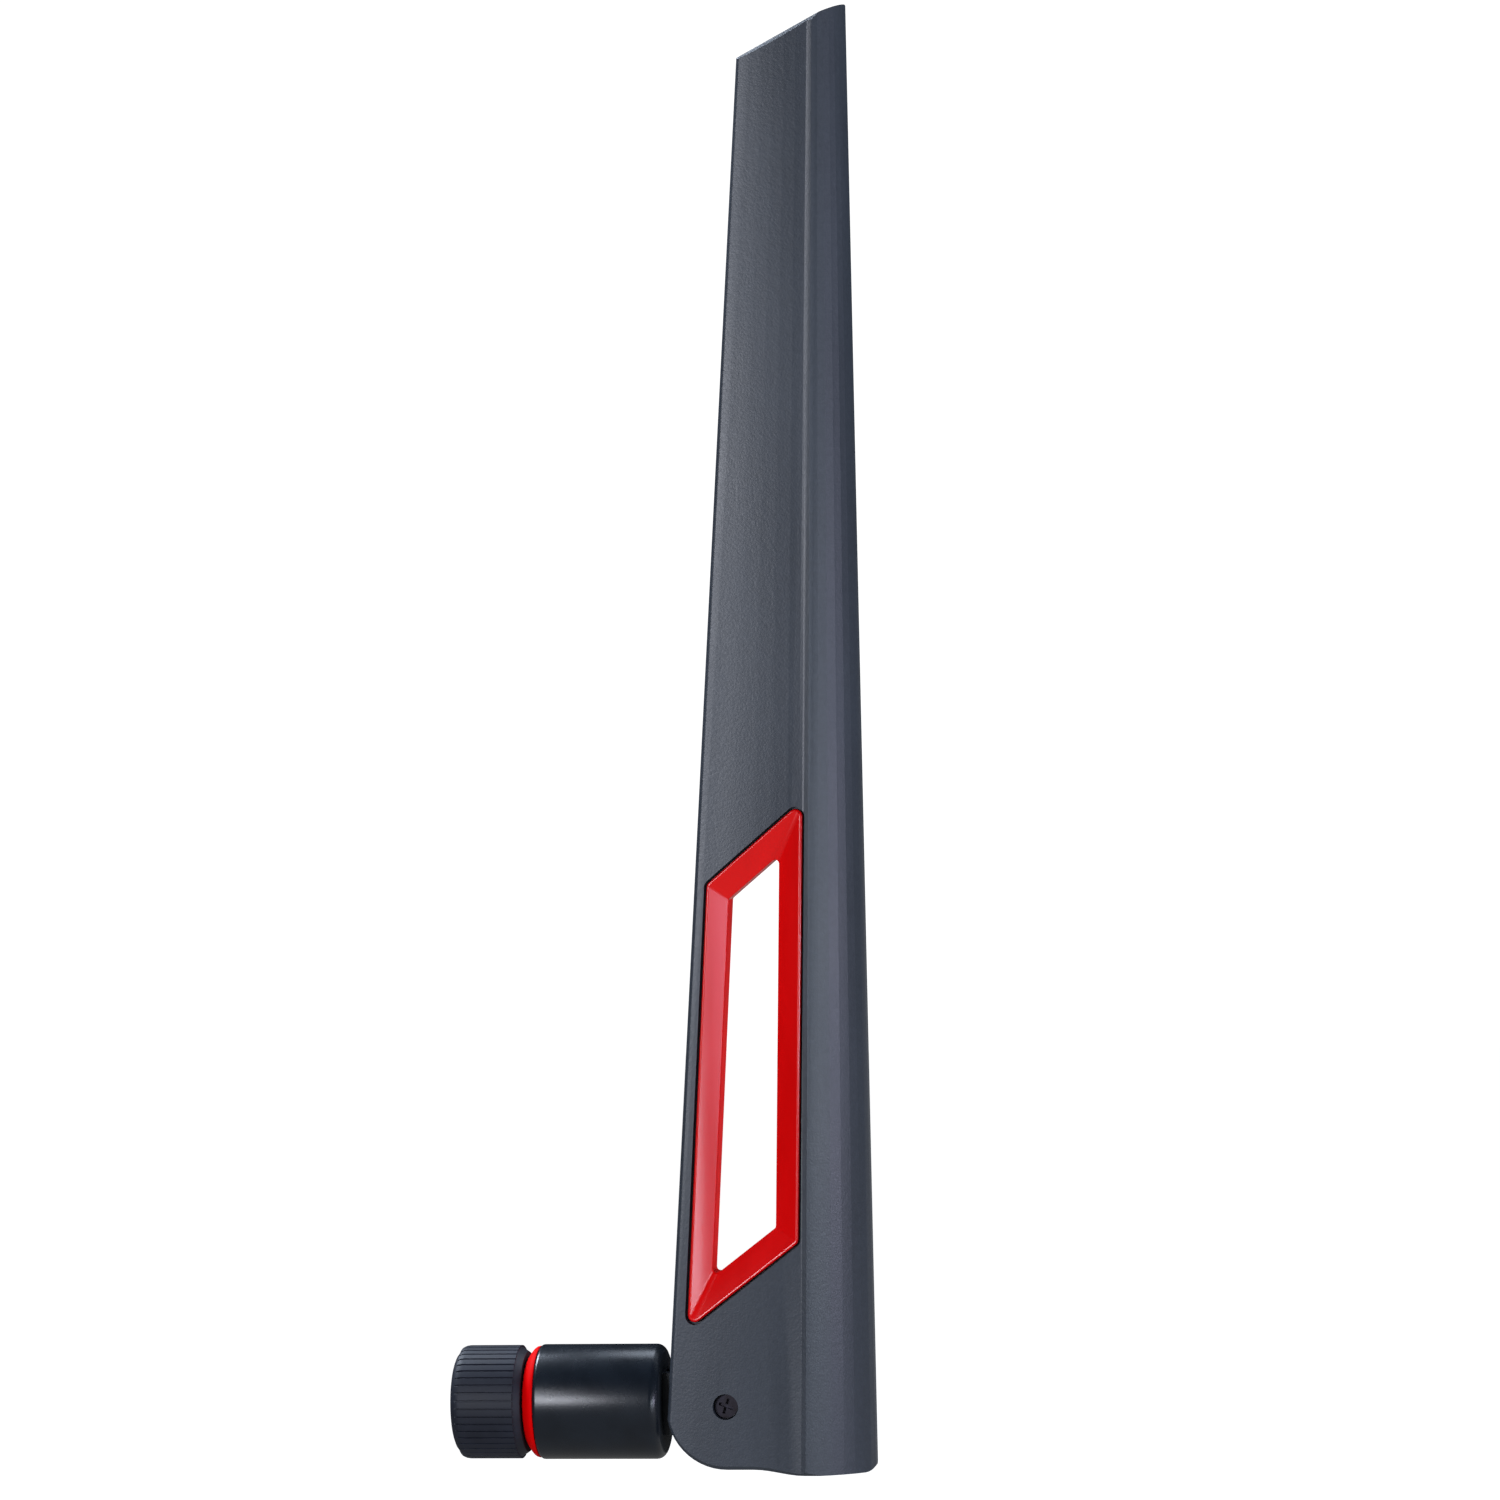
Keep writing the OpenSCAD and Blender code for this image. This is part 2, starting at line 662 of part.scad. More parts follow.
// Space inside the front half: above the hinge block and beside it
cap_slope = tip_rise / tip_w;
cap_z = tip_edge_h - shell_wall / cos(atan(cap_slope));
module half_cavity() {
    space = [[-far, hinge_top], [hinge_side, hinge_top], [hinge_side, toe_z + shell_wall],
             [far, toe_z + shell_wall], [far, cap_z + (far - spine_x + tip_w) * cap_slope],
             [-far, cap_z - (far + spine_x - tip_w) * cap_slope]];
    intersection() {
        stacked([for (z = [toe_z - past, tip_h + past])
            [for (p = cavity_section(z)) [p.x, p.y, z]]]);
        plate(space, -foot_t, 2 * past);
    }
}

// Slot for the hinge tongue: it runs from the leading edge round the corner to the foot
module tongue_slot() {
    along_y(slot_r, -slot_half, slot_half, round_fn);
    translate([-far, -slot_half, -far]) cube([far, 2 * slot_half, far + slot_r]);
    translate([-far, -slot_half, -far]) cube([far + slot_r, 2 * slot_half, far]);
}

// Ribs across the cavity that hold the board's faces
board_z = window_rib[2].y + board_window_gap;
board_z1 = cap_z - board_tip_gap;
board_side_gap = 0.5;
board_x0 = edge_x(board_z1) + shell_wall + board_side_gap;
rib_places = [board_z + rib_from_end, board_z1 - rib_from_end];
rib_gap = 0.02;
peg_margin = 1;
peg_x = board_x0 + peg_margin + peg_r;
peg_l = 0.6;
peg_tip_gap = 0.3;
module board_ribs() {
    intersection() {
        half_solid();
        for (z = rib_places)
            translate([-far, -foot_t, z - rib_t / 2])
                cube([2 * far, foot_t - board_t / 2 - copper_t - rib_gap, rib_t]);
    }
}

// The window's outline grown by a gap, cut from the front face back to y1
module window_cut(gap, y1) {
    plate(rounded(grown(window, gap), frame_corner_r + gap), -foot_t, y1);
}

// What both halves share, drawn for the front half
module half_shell() {
    difference() {
        union() {
            difference() {
                half_solid();
                half_cavity();
            }
            intersection() {
                half_solid();
                plate(rounded(window_rib, frame_corner_r + window_rib_gap), -foot_t, 0);
            }
            board_ribs();
        }
        window_cut(frame_seat_gap, past);
        window_cut(frame_gap, frame_gap_depth - half_t(window_z));
        tongue_slot();
        translate([0, -past, 0]) plate([[-far, -far], [far, -far], [far, 2 * tip_h],
            [-far, 2 * tip_h]], past, past + far);
        cable_passage();
    }
}

// Room for the cable through the hinge block and the lower rib
cable_exit_x = -4.3;
cable_exit_w = 2.8;
module cable_passage() {
    translate([cable_exit_x - cable_exit_w / 2, -cable_slot / 2, slot_r - past])
        cube([cable_exit_w, cable_slot, shell_wall + 2 * past]);
    translate([feed_x - cable_slot / 2, -board_t / 2 - cable_slot, rib_places[0] - rib_t])
        cube([cable_slot, cable_slot + board_t / 2, 2 * rib_t]);
}

module front_shell() {
    color([0.22, 0.23, 0.26]) {
        translate([pivot_x, 0, 0]) difference() {
            union() {
                half_shell();
                along_y(post_r, -slot_half - 0.1, slot_half);
            }
            along_y(screw_recess_r, -foot_t, -screw_floor);
            along_y(screw_r, -foot_t, foot_t);
            for (z = rib_places)
                translate([peg_x, 0, z])
                    along_y(peg_r + peg_gap, -board_t / 2 - peg_l - peg_tip_gap, 0);
        }
    }
}

module rear_shell() {
    color([0.22, 0.23, 0.26]) {
        translate([pivot_x, 0, 0]) difference() {
            union() {
                mirror([0, 1, 0]) half_shell();
                for (z = rib_places)
                    translate([peg_x, 0, z]) along_y(peg_r, -board_t / 2 - peg_l, board_t / 2 + 0.5);
            }
            along_y(screw_r, 0, slot_half + screw_bite);
        }
    }
}

// Window frame, front: side wall, rounded rim, sloped faces and inner skirt
module frame_ring(inner) {
    face = half_t(window_z) - frame_sink;
    steps = 4;
    outer = rounded(window, frame_corner_r, steps);
    rim = rounded(grown(window, -frame_rim / 2), frame_corner_r - frame_rim / 2, steps);
    lip = rounded(grown(window, -frame_rim), frame_corner_r - frame_rim, steps);
    hole = rounded(inner, inner_corner_r, steps);
    looped([for (ring = [[outer, 0], [outer, face - 0.25], [rim, face - 0.06], [lip, face - 0.03],
                         [hole, face - bar_depth], [hole, 0]])
        [for (p = ring[0]) [p.x, -ring[1], p.y]]]);
}

module front_bezel() {
    color([0.78, 0.01, 0.05]) translate([pivot_x, 0, 0]) frame_ring(window_inner);
}

module rear_bezel() {
    color([0.78, 0.01, 0.05])
        translate([pivot_x, 0, 0]) mirror([0, 1, 0]) frame_ring(grown(window_inner, rear_set_back));
}

// Board with its copper, solder and foam, drawn about the pivot

module antenna_board() {
    color([0.1, 0.35, 0.2]) {
        translate([pivot_x, 0, 0]) difference() {
            translate([board_x0, -board_t / 2, board_z]) cube([board_w, board_t, board_z1 - board_z]);
            for (z = rib_places)
                translate([peg_x, 0, z]) along_y(peg_r + peg_gap, -board_t, board_t);
        }
    }
}

// Two strips below the feed, and above it a broad arm, a neck and a patch
feed_z = board_z + feed_rise;
feed_gap = 1.2;
copper_x0 = peg_x + peg_r + peg_gap + 0.25;
feed_x = copper_x0 + copper_w / 2;
copper_neck_w = 0.6;
module copper_strip(x0, w, z0, z1) {
    translate([x0, 0, z0]) cube([w, copper_t, z1 - z0]);
}

module board_copper() {
    copper_z1 = board_z1 - copper_margin;
    color([0.85, 0.5, 0.25]) {
        translate([pivot_x, -board_t / 2 - copper_t, 0]) {
            for (x0 = [copper_x0, copper_x0 + copper_w - copper_strip_w])
                copper_strip(x0, copper_strip_w, board_z + copper_margin, feed_z - feed_gap);
            copper_strip(copper_x0, copper_w, feed_z, feed_z + copper_arm_l);
            copper_strip(feed_x - copper_neck_w / 2, copper_neck_w, feed_z + copper_arm_l - 0.1,
                         copper_z1 - copper_patch_l + 0.1);
            copper_strip(copper_x0, copper_w, copper_z1 - copper_patch_l, copper_z1);
        }
    }
}

// Domes of solder: the core's at the cable's end, the braid's on both sides of the cable
module solder_dome(r, h) {
    rotate([90, 0, 0]) rotate_extrude($fn = small_fn)
        polygon(concat([[0, 0]], [for (i = [0:5]) [r * cos(18 * i), h * sin(18 * i)]]));
}

core_dome_r = 1.1;
braid_dome_r = 0.6;
module feed_solder() {
    color([0.8, 0.8, 0.83]) {
        translate([pivot_x + feed_x, -board_t / 2 - copper_t, 0]) {
            translate([0, 0, feed_z + core_dome_r / 2]) solder_dome(core_dome_r, 0.9);
            for (side = [-1, 1])
                translate([side * (cable_r + braid_dome_r + 0.05), 0, feed_z - feed_gap - 2.5])
                    solder_dome(braid_dome_r, 0.8);
        }
    }
}

module foam_pad_front() {
    color([0.2, 0.2, 0.21]) translate([pivot_x, 0, 0]) foam_pad(copper_t);
}

module foam_pad_rear() {
    color([0.2, 0.2, 0.21]) translate([pivot_x, 0, 0]) mirror([0, 1, 0]) foam_pad(0);
}

pad_gap = 0.05;
pad_inset = 0.9;
pad_z0 = feed_z + pad_end_gap;
pad_z1 = rib_places[1] - rib_t / 2 - pad_end_gap;
module foam_pad(clear) {
    x0 = board_x0 + pad_inset;
    x1 = min(board_x0 + board_w - pad_inset, crease_x(pad_z0) - shell_wall / 3 - pad_gap);
    y0 = shell_wall + pad_gap - half_t(pad_z1);
    translate([x0, y0, pad_z0]) cube([x1 - x0, -board_t / 2 - clear - rib_gap - y0, pad_z1 - pad_z0]);
}

// Coaxial cable, from the connector through the hinge and beside the window to the board

function on_pivot(p) = [p.x + pivot_x, p.y, p.z];
cable_route = concat(
    [[cable_x0, 0, 0], [14, 0, 0], [18, 0, 0], [22, 0, 0]],
    [for (p = [[-10, 0, 0], [-7.8, 0, 0.5], [-6, 0, 1.7], [-4.8, 0, 3.5], [-4.4, 0, 5.5],
               [-3.5, 0, 7.5], [-1.4, 0, 8.4], [1.5, 0, 8.5], [5, 0, 8.5], [8.5, 0, 8.6],
               [11.5, 0, 9.2], [13.6, 0, 10.8], [14.5, 0, 13.2], [14.6, 0, 16]]) on_pivot(p)],
    [for (z = [21:5:71]) on_pivot([14.6, 0, z])],
    [for (p = [[14.5, -0.5, 75], [14.1, -1.1, 79], [13.2, -1.3, 83], [12.2, -1.3, 87],
               [11.6, -1.3, 91], [11.5, -1.3, 96], [11.5, -1.3, 101], [11.5, -1.3, 106],
               [11.5, -1.3, 112]]) on_pivot(p)]);

// A point between b and c on the smooth curve through a, b, c and d
function on_curve(a, b, c, d, t) =
    0.5 * (2 * b + (c - a) * t + (2 * a - 5 * b + 4 * c - d) * t * t
           + (3 * b - a - 3 * c + d) * t * t * t);

function thinned(path) = let (n = len(path)) concat(
    [for (i = [0:n - 2]) let (a = path[max(i - 1, 0)], d = path[min(i + 2, n - 1)])
        each [for (t = norm(path[i + 1] - path[i]) > 3 ? [0] : [0, 0.5])
            on_curve(a, path[i], path[i + 1], d, t)]],
    [path[n - 1]]);

// Rings of eight points square to the path; the side direction never turns, so nothing twists
function swept(path, r) = let (n = len(path))
    [for (i = [0:n - 1])
        let (t = unit(path[min(i + 1, n - 1)] - path[max(i - 1, 0)]),
             side = unit(cross(t, [0, 1, 0])), up = cross(side, t))
        [for (k = [0:7]) path[i] + r * (cos(45 * k) * side + sin(45 * k) * up)]];

module coax_cable() {
    color([0.25, 0.25, 0.27]) stacked(swept(thinned(cable_route), cable_r));
}

nut_grip();
coupling_nut();
snap_ring();
connector_body();
dielectric();
centre_contact();
crimp_ferrule();
heat_shrink();
swivel_bush();
swivel_washer();
swivel_clip();
accent_ring();
stem_barrel();
friction_washer_front();
friction_washer_rear();
pivot_screw();
front_shell();
rear_shell();
front_bezel();
rear_bezel();
antenna_board();
board_copper();
feed_solder();
foam_pad_front();
foam_pad_rear();
coax_cable();
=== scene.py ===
import json
import math

import bmesh
import bpy
from mathutils import Matrix, Vector, noise


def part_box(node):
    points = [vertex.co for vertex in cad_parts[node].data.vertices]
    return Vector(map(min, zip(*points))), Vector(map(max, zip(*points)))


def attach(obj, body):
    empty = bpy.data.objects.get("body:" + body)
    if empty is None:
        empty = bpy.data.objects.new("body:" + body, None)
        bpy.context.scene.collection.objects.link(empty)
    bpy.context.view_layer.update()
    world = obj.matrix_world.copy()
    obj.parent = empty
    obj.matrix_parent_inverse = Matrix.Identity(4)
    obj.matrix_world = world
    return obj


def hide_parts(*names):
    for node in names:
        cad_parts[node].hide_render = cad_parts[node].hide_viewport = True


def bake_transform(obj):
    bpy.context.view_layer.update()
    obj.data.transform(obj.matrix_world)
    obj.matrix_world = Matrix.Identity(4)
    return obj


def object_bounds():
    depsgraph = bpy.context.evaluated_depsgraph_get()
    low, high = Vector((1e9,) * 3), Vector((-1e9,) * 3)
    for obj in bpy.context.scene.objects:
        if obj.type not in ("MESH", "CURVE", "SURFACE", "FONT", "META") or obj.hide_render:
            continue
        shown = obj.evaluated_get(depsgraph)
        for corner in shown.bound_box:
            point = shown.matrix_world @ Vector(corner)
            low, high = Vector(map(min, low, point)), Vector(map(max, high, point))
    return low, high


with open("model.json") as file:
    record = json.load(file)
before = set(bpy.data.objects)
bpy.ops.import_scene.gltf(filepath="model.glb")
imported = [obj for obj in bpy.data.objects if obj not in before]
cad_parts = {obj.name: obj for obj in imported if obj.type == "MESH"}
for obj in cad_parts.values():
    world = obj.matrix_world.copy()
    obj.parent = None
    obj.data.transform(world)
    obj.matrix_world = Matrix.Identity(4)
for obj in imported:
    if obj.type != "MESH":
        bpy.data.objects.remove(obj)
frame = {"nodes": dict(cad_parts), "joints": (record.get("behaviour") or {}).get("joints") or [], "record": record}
cad_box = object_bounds()
nodes = frame["nodes"]

MM = 0.001
TILT = next(joint for joint in frame["joints"] if joint["name"] == "tilt")
PIVOT_X = TILT["pos_m"][0]


def add_object(name, data):
    obj = bpy.data.objects.new(name, data)
    bpy.context.scene.collection.objects.link(obj)
    return obj


def aimed(obj, at, target, roll=0.0):
    """Places obj at a point and turns its -Z towards the target."""
    back = (at - target).normalized()
    right = Vector((0, 0, 1)).cross(back).normalized()
    up = back.cross(right)
    c = math.cos(roll)
    s = math.sin(roll)
    axes = Matrix((c * right - s * up, s * right + c * up, back)).transposed()
    obj.matrix_world = Matrix.Translation(at) @ axes.to_4x4()


# Camera, turned to the right of the object's front and slightly rolled, as in the photo

CAMERA_AT = Vector((0.137022, -0.642692, 0.084131))
CAMERA_AZIMUTH = math.radians(8.6)
CAMERA_ROLL = math.radians(1.3)
CAMERA_LENS = 120.7
CAMERA_SENSOR = 36
CAMERA_NEAR = 0.05
CAMERA_FAR = 20


def add_camera():
    data = bpy.data.cameras.new("camera")
    data.sensor_fit = "HORIZONTAL"
    data.sensor_width = CAMERA_SENSOR
    data.lens = CAMERA_LENS
    data.clip_start = CAMERA_NEAR
    data.clip_end = CAMERA_FAR
    camera = add_object("camera", data)
    ahead = Vector((-math.sin(CAMERA_AZIMUTH), math.cos(CAMERA_AZIMUTH), 0))
    aimed(camera, CAMERA_AT, CAMERA_AT + ahead, CAMERA_ROLL)
    bpy.context.scene.camera = camera


# Helper for the materials. The roughness that makes a wall matt is added where the size of the
# normal's x goes from one value to the other.

MATT_ROUGHNESS = 0.55
MATT_FROM = 0.9
MATT_FULL = 0.98


class Look:
    """A Principled material with helpers that build its procedural detail."""

    def __init__(self, name, colour, roughness, metallic=0.0, **values):
        self.material = bpy.data.materials.new(name)
        self.material.use_nodes = True
        self.tree = self.material.node_tree
        self.shader = self.tree.nodes["Principled BSDF"]
        self.set("Base Color", (*colour, 1))
        self.set("Roughness", roughness)
        self.set("Metallic", metallic)
        for key, value in values.items():
            self.set(key.replace("_", " "), value)
        self.colour = colour
        self.roughness = roughness
        self.bumped = None
        coordinates = self.node("TexCoord")
        self.place = coordinates.outputs["Object"]
        self.facing = coordinates.outputs["Normal"]

    def node(self, kind):
        return self.tree.nodes.new("ShaderNode" + kind)

    def set(self, name, value):
        self.shader.inputs[name].default_value = value

    def link(self, a, b):
        self.tree.links.new(a, b)

    def noise(self, scale, detail=2.0, stretch=(1, 1, 1)):
        """Noise with grains 1 / scale metres wide, longer on an axis whose stretch is below 1."""
        mapping = self.node("Mapping")
        mapping.inputs["Scale"].default_value = stretch
        self.link(self.place, mapping.inputs["Vector"])
        texture = self.node("TexNoise")
        texture.inputs["Scale"].default_value = scale
        texture.inputs["Detail"].default_value = detail
        self.link(mapping.outputs["Vector"], texture.inputs["Vector"])
        return texture.outputs["Fac"]

    def cells(self, scale):
        texture = self.node("TexVoronoi")
        texture.inputs["Scale"].default_value = scale
        self.link(self.place, texture.inputs["Vector"])
        return texture.outputs["Distance"]

    def spread(self, value, low, high, start=0.3, end=0.7):
        """Maps the value's range from start to end onto low to high."""
        span = self.node("MapRange")
        span.inputs["From Min"].default_value = start
        span.inputs["From Max"].default_value = end
        span.inputs["To Min"].default_value = low
        span.inputs["To Max"].default_value = high
        self.link(value, span.inputs["Value"])
        return span.outputs["Result"]

    def maths(self, operation, *values):
        step = self.node("Math")
        step.operation = operation
        for socket, value in zip(step.inputs, values):
            if isinstance(value, (int, float)):
                socket.default_value = value
            else:
                self.link(value, socket)
        return step.outputs["Value"]

    def mixed(self, a, b, share):
        """Sum of two values, the first one with the share and the second with the rest."""
        return self.maths("ADD", self.maths("MULTIPLY", a, share),
                          self.maths("MULTIPLY", b, 1 - share))

    def tint(self, fac, dark, light):
        """Base colour between two multiples of the material's own colour."""
        mix = self.node("Mix")
        mix.data_type = "RGBA"
        self.link(fac, mix.inputs["Factor"])
        for name, share in (("A", dark), ("B", light)):
            shares = share if isinstance(share, tuple) else (share,) * 3
            mix.inputs[name].default_value = (*[c * s for c, s in zip(self.colour, shares)], 1)
        self.link(mix.outputs["Result"], self.shader.inputs["Base Color"])

    def shine(self, fac, change):
        """Roughness that wanders by the change either way."""
        return self.spread(fac, self.roughness - change, self.roughness + change)

    def gloss(self, fac, change):
        self.link(self.shine(fac, change), self.shader.inputs["Roughness"])

    def matt_end_gloss(self, fac, change):
        """Gloss with matt walls where the surface faces along the stem."""
        parts = self.node("SeparateXYZ")
        self.link(self.facing, parts.inputs["Vector"])
        along = self.maths("ABSOLUTE", parts.outputs["X"])
        matt = self.spread(along, 0, MATT_ROUGHNESS, MATT_FROM, MATT_FULL)
        roughness = self.maths("ADD", matt, self.shine(fac, change))
        self.link(roughness, self.shader.inputs["Roughness"])

    def bump(self, height, depth, strength):
        relief = self.node("Bump")
        relief.inputs["Strength"].default_value = strength
        relief.inputs["Distance"].default_value = depth
        self.link(height, relief.inputs["Height"])
        if self.bumped is not None:
            self.link(self.bumped, relief.inputs["Normal"])
        self.bumped = relief.outputs["Normal"]
        self.link(self.bumped, self.shader.inputs["Normal"])


# Studio

LIGHT_TARGET = Vector((0.036, 0, 0.07))
LIGHT_DISTANCE = 0.8
WARM = (0.97, 1.0, 1.10)
COOL = (0.89, 1.0, 1.17)
VIOLET = (0.95, 0.93, 1.25)


def add_softbox(name, colour, azimuth, elevation, width, height, watts):
    """Area light at an azimuth in degrees, measured from the object's front towards +X."""
    data = bpy.data.lights.new(name, "AREA")
    data.shape = "RECTANGLE"
    data.size = width
    data.size_y = height
    data.energy = watts
    data.color = colour
    light = add_object(name, data)
    a = math.radians(azimuth)
    e = math.radians(elevation)
    way = Vector((math.sin(a) * math.cos(e), -math.cos(a) * math.cos(e), math.sin(e)))
    aimed(light, LIGHT_TARGET + way * LIGHT_DISTANCE, LIGHT_TARGET)
    light.visible_camera = False


def add_lights():
    add_softbox("left_box", WARM, azimuth=-23, elevation=4,
                width=0.2, height=0.14, watts=2.15)
    add_softbox("left_high_box", WARM, azimuth=-30, elevation=16,
                width=0.16, height=0.16, watts=0.8)
    add_softbox("right_low_box", COOL, azimuth=42, elevation=-3.5,
                width=0.4, height=0.05, watts=1.25)
    add_softbox("side_box", VIOLET, azimuth=67, elevation=-2.5,
                width=0.16, height=0.06, watts=0.85)
    add_softbox("back_right_box", COOL, azimuth=120, elevation=45,
                width=0.3, height=0.3, watts=3.0)
    add_softbox("back_left_box", COOL, azimuth=-120, elevation=45,
                width=0.3, height=0.3, watts=6.5)
    add_softbox("back_top_box", COOL, azimuth=180, elevation=62,
                width=0.3, height=0.3, watts=1.25)


ROOM_COLOUR = (0.80, 0.88, 1.0, 1)
ROOM_STRENGTH = 0.02
SHEET_STRENGTH = 1.1


def add_world():
    """Dim room for the object, with a white sheet behind it for the camera."""
    world = bpy.data.worlds.new("studio")
    bpy.context.scene.world = world
    world.use_nodes = True
    tree = world.node_tree
    tree.nodes.clear()
    out = tree.nodes.new("ShaderNodeOutputWorld")
    mix = tree.nodes.new("ShaderNodeMixShader")
    path = tree.nodes.new("ShaderNodeLightPath")
    room = tree.nodes.new("ShaderNodeBackground")
    room.inputs["Color"].default_value = ROOM_COLOUR
    room.inputs["Strength"].default_value = ROOM_STRENGTH
    sheet = tree.nodes.new("ShaderNodeBackground")
    sheet.inputs["Color"].default_value = (1, 1, 1, 1)
    sheet.inputs["Strength"].default_value = SHEET_STRENGTH
    tree.links.new(path.outputs["Is Camera Ray"], mix.inputs["Fac"])
    tree.links.new(room.outputs["Background"], mix.inputs[1])
    tree.links.new(sheet.outputs["Background"], mix.inputs[2])
    tree.links.new(mix.outputs["Shader"], out.inputs["Surface"])


FLOOR_GAP = 0.02
FLOOR_REACH = 4.0
FLOOR_GREY = 0.86
FLOOR_ROUGHNESS = 0.6
FLOOR_WHITE = 1.0
GLOW_LEFT = 0.04
GLOW_RIGHT = 0.42
GLOW_LEFT_X = -0.9
GLOW_RIGHT_X = 0.85


def floor_look():
    """White for the camera, and a glow that grows towards the right for the object."""
    look = Look("floor_pale", (FLOOR_GREY,) * 3, FLOOR_ROUGHNESS)
    look.set("Emission Color", (1, 1, 1, 1))
    look.set("Emission Strength", FLOOR_WHITE)
    path = look.node("LightPath")
    glow = look.node("Emission")
    spot = look.node("SeparateXYZ")
    look.link(look.place, spot.inputs["Vector"])
    rise = look.spread(spot.outputs["X"], GLOW_LEFT, GLOW_RIGHT, GLOW_LEFT_X, GLOW_RIGHT_X)
    look.link(rise, glow.inputs["Strength"])
    mix = look.node("MixShader")
    look.link(path.outputs["Is Camera Ray"], mix.inputs["Fac"])
    look.link(glow.outputs["Emission"], mix.inputs[1])
    look.link(look.shader.outputs["BSDF"], mix.inputs[2])
    look.link(mix.outputs["Shader"], look.tree.nodes["Material Output"].inputs["Surface"])
    return look


def add_floor():
    """Pale floor below the reach of the blade, which the swivel can point downwards."""
    z = -cad_box[1].z - FLOOR_GAP
    r = FLOOR_REACH
    mesh = bpy.data.meshes.new("floor")
    mesh.from_pydata([(-r, -r, z), (r, -r, z), (r, r, z), (-r, r, z)], [], [(0, 1, 2, 3)])
    mesh.materials.append(floor_look().material)
    floor = add_object("floor", mesh)


# Materials

# Turning marks run round the axis: noise is fine along it and drawn out across it
DRAWN_OUT = 0.02
TURNED_X = (1.0, DRAWN_OUT, DRAWN_OUT)
TURNED_Y = (DRAWN_OUT, 1.0, DRAWN_OUT)
TURNED_Z = (DRAWN_OUT, DRAWN_OUT, 1.0)


def moulded(name, colour, roughness, specular, grain_depth):
    """Moulded plastic with a fine grain and a slightly uneven gloss."""
    look = Look(name, colour, roughness, Specular_IOR_Level=specular)
    grain = look.noise(5200, detail=3)
    cloud = look.noise(240, detail=3)
    look.tint(look.spread(cloud, 0, 1), dark=0.8, light=1.25)
    look.matt_end_gloss(cloud, change=0.015)
    look.bump(grain, grain_depth, strength=0.4)
    return look


def red_moulded(name, roughness, specular):
    """Red plastic with faint flow marks."""
    look = Look(name, (0.93, 0.0004, 0.001), roughness, Specular_IOR_Level=specular)
    flow = look.noise(160, detail=3, stretch=(1, 1, 0.25))
    ripple = look.noise(900)
    look.tint(look.spread(flow, 0, 1), dark=(0.9, 0.7, 0.8), light=(1.07, 1.3, 1.2))
    look.matt_end_gloss(flow, change=0.04)
    look.bump(ripple, depth=0.000006, strength=0.5)
    return look


def turned_metal(name, colour, roughness, stretch=TURNED_X):
    """Metal with fine turning marks and slight tarnish."""
    look = Look(name, colour, roughness, metallic=1.0)
    marks = look.noise(9000, stretch=stretch)
    tarnish = look.noise(700, detail=3)
    look.tint(look.spread(tarnish, 0, 1), dark=(0.78, 0.72, 0.62), light=1.06)
    look.gloss(tarnish, change=0.06)
    look.bump(marks, depth=0.000006, strength=0.5)
    return look


def plain_plastic(name, colour, roughness, **values):
    """Smooth plastic with faint patches."""
    look = Look(name, colour, roughness, **values)
    cloud = look.noise(900, detail=3)
    look.tint(look.spread(cloud, 0, 1), dark=0.88, light=1.06)
    look.gloss(cloud, change=0.05)
    look.bump(look.noise(3600), depth=0.00001, strength=0.4)
    return look


def blade_plastic():
    """Spark-eroded matte moulding: fine grain, faint cloudy patches."""
    look = Look("blade_plastic", (0.041, 0.050, 0.065), 0.38, Specular_IOR_Level=0.5)
    grain = look.noise(3600, detail=3)
    cloud = look.noise(110, detail=3, stretch=(1, 1, 0.35))
    fine = look.noise(1500)
    look.tint(look.spread(look.mixed(cloud, fine, 0.6), 0, 1), dark=0.82, light=1.2)
    look.gloss(look.mixed(cloud, grain, 0.5), change=0.05)
    look.bump(grain, depth=0.000035, strength=0.5)
    look.bump(fine, depth=0.00003, strength=0.3)
    return look


def stem_plastic():
    return moulded("stem_plastic", (0.008, 0.012, 0.018), 0.27, specular=0.5,
                   grain_depth=0.00002)


def nut_plastic():
    return moulded("nut_plastic", (0.016, 0.019, 0.03), 0.55, specular=0.35,
                   grain_depth=0.00003)


def red_gloss():
    return red_moulded("red_gloss", 0.25, specular=0.55)


def ring_red():
    return red_moulded("ring_red", 0.6, specular=0.05)


def brass():
    return turned_metal("brass", (0.84, 0.62, 0.29), 0.26)


def gold_contact():
    return turned_metal("gold_contact", (0.95, 0.70, 0.30), 0.18)


def spring_steel():
    return turned_metal("spring_steel", (0.58, 0.58, 0.57), 0.3)


def screw_steel():
    return turned_metal("screw_steel", (0.04, 0.038, 0.05), 0.42, TURNED_Y)


def crimp_metal():
    return turned_metal("crimp_metal", (0.66, 0.66, 0.64), 0.34)


def copper():
    return turned_metal("copper", (0.80, 0.42, 0.24), 0.32, TURNED_Z)


def solder():
    return turned_metal("solder", (0.72, 0.72, 0.74), 0.24, TURNED_Z)


def white_insulator():
    return plain_plastic("white_insulator", (0.83, 0.83, 0.80), 0.42, Subsurface_Weight=0.1)


def natural_plastic():
    return plain_plastic("natural_plastic", (0.70, 0.67, 0.58), 0.45)


def black_sleeve():
    return plain_plastic("black_sleeve", (0.015, 0.015, 0.016), 0.5)


def cable_jacket():
    return plain_plastic("cable_jacket", (0.022, 0.022, 0.025), 0.38)


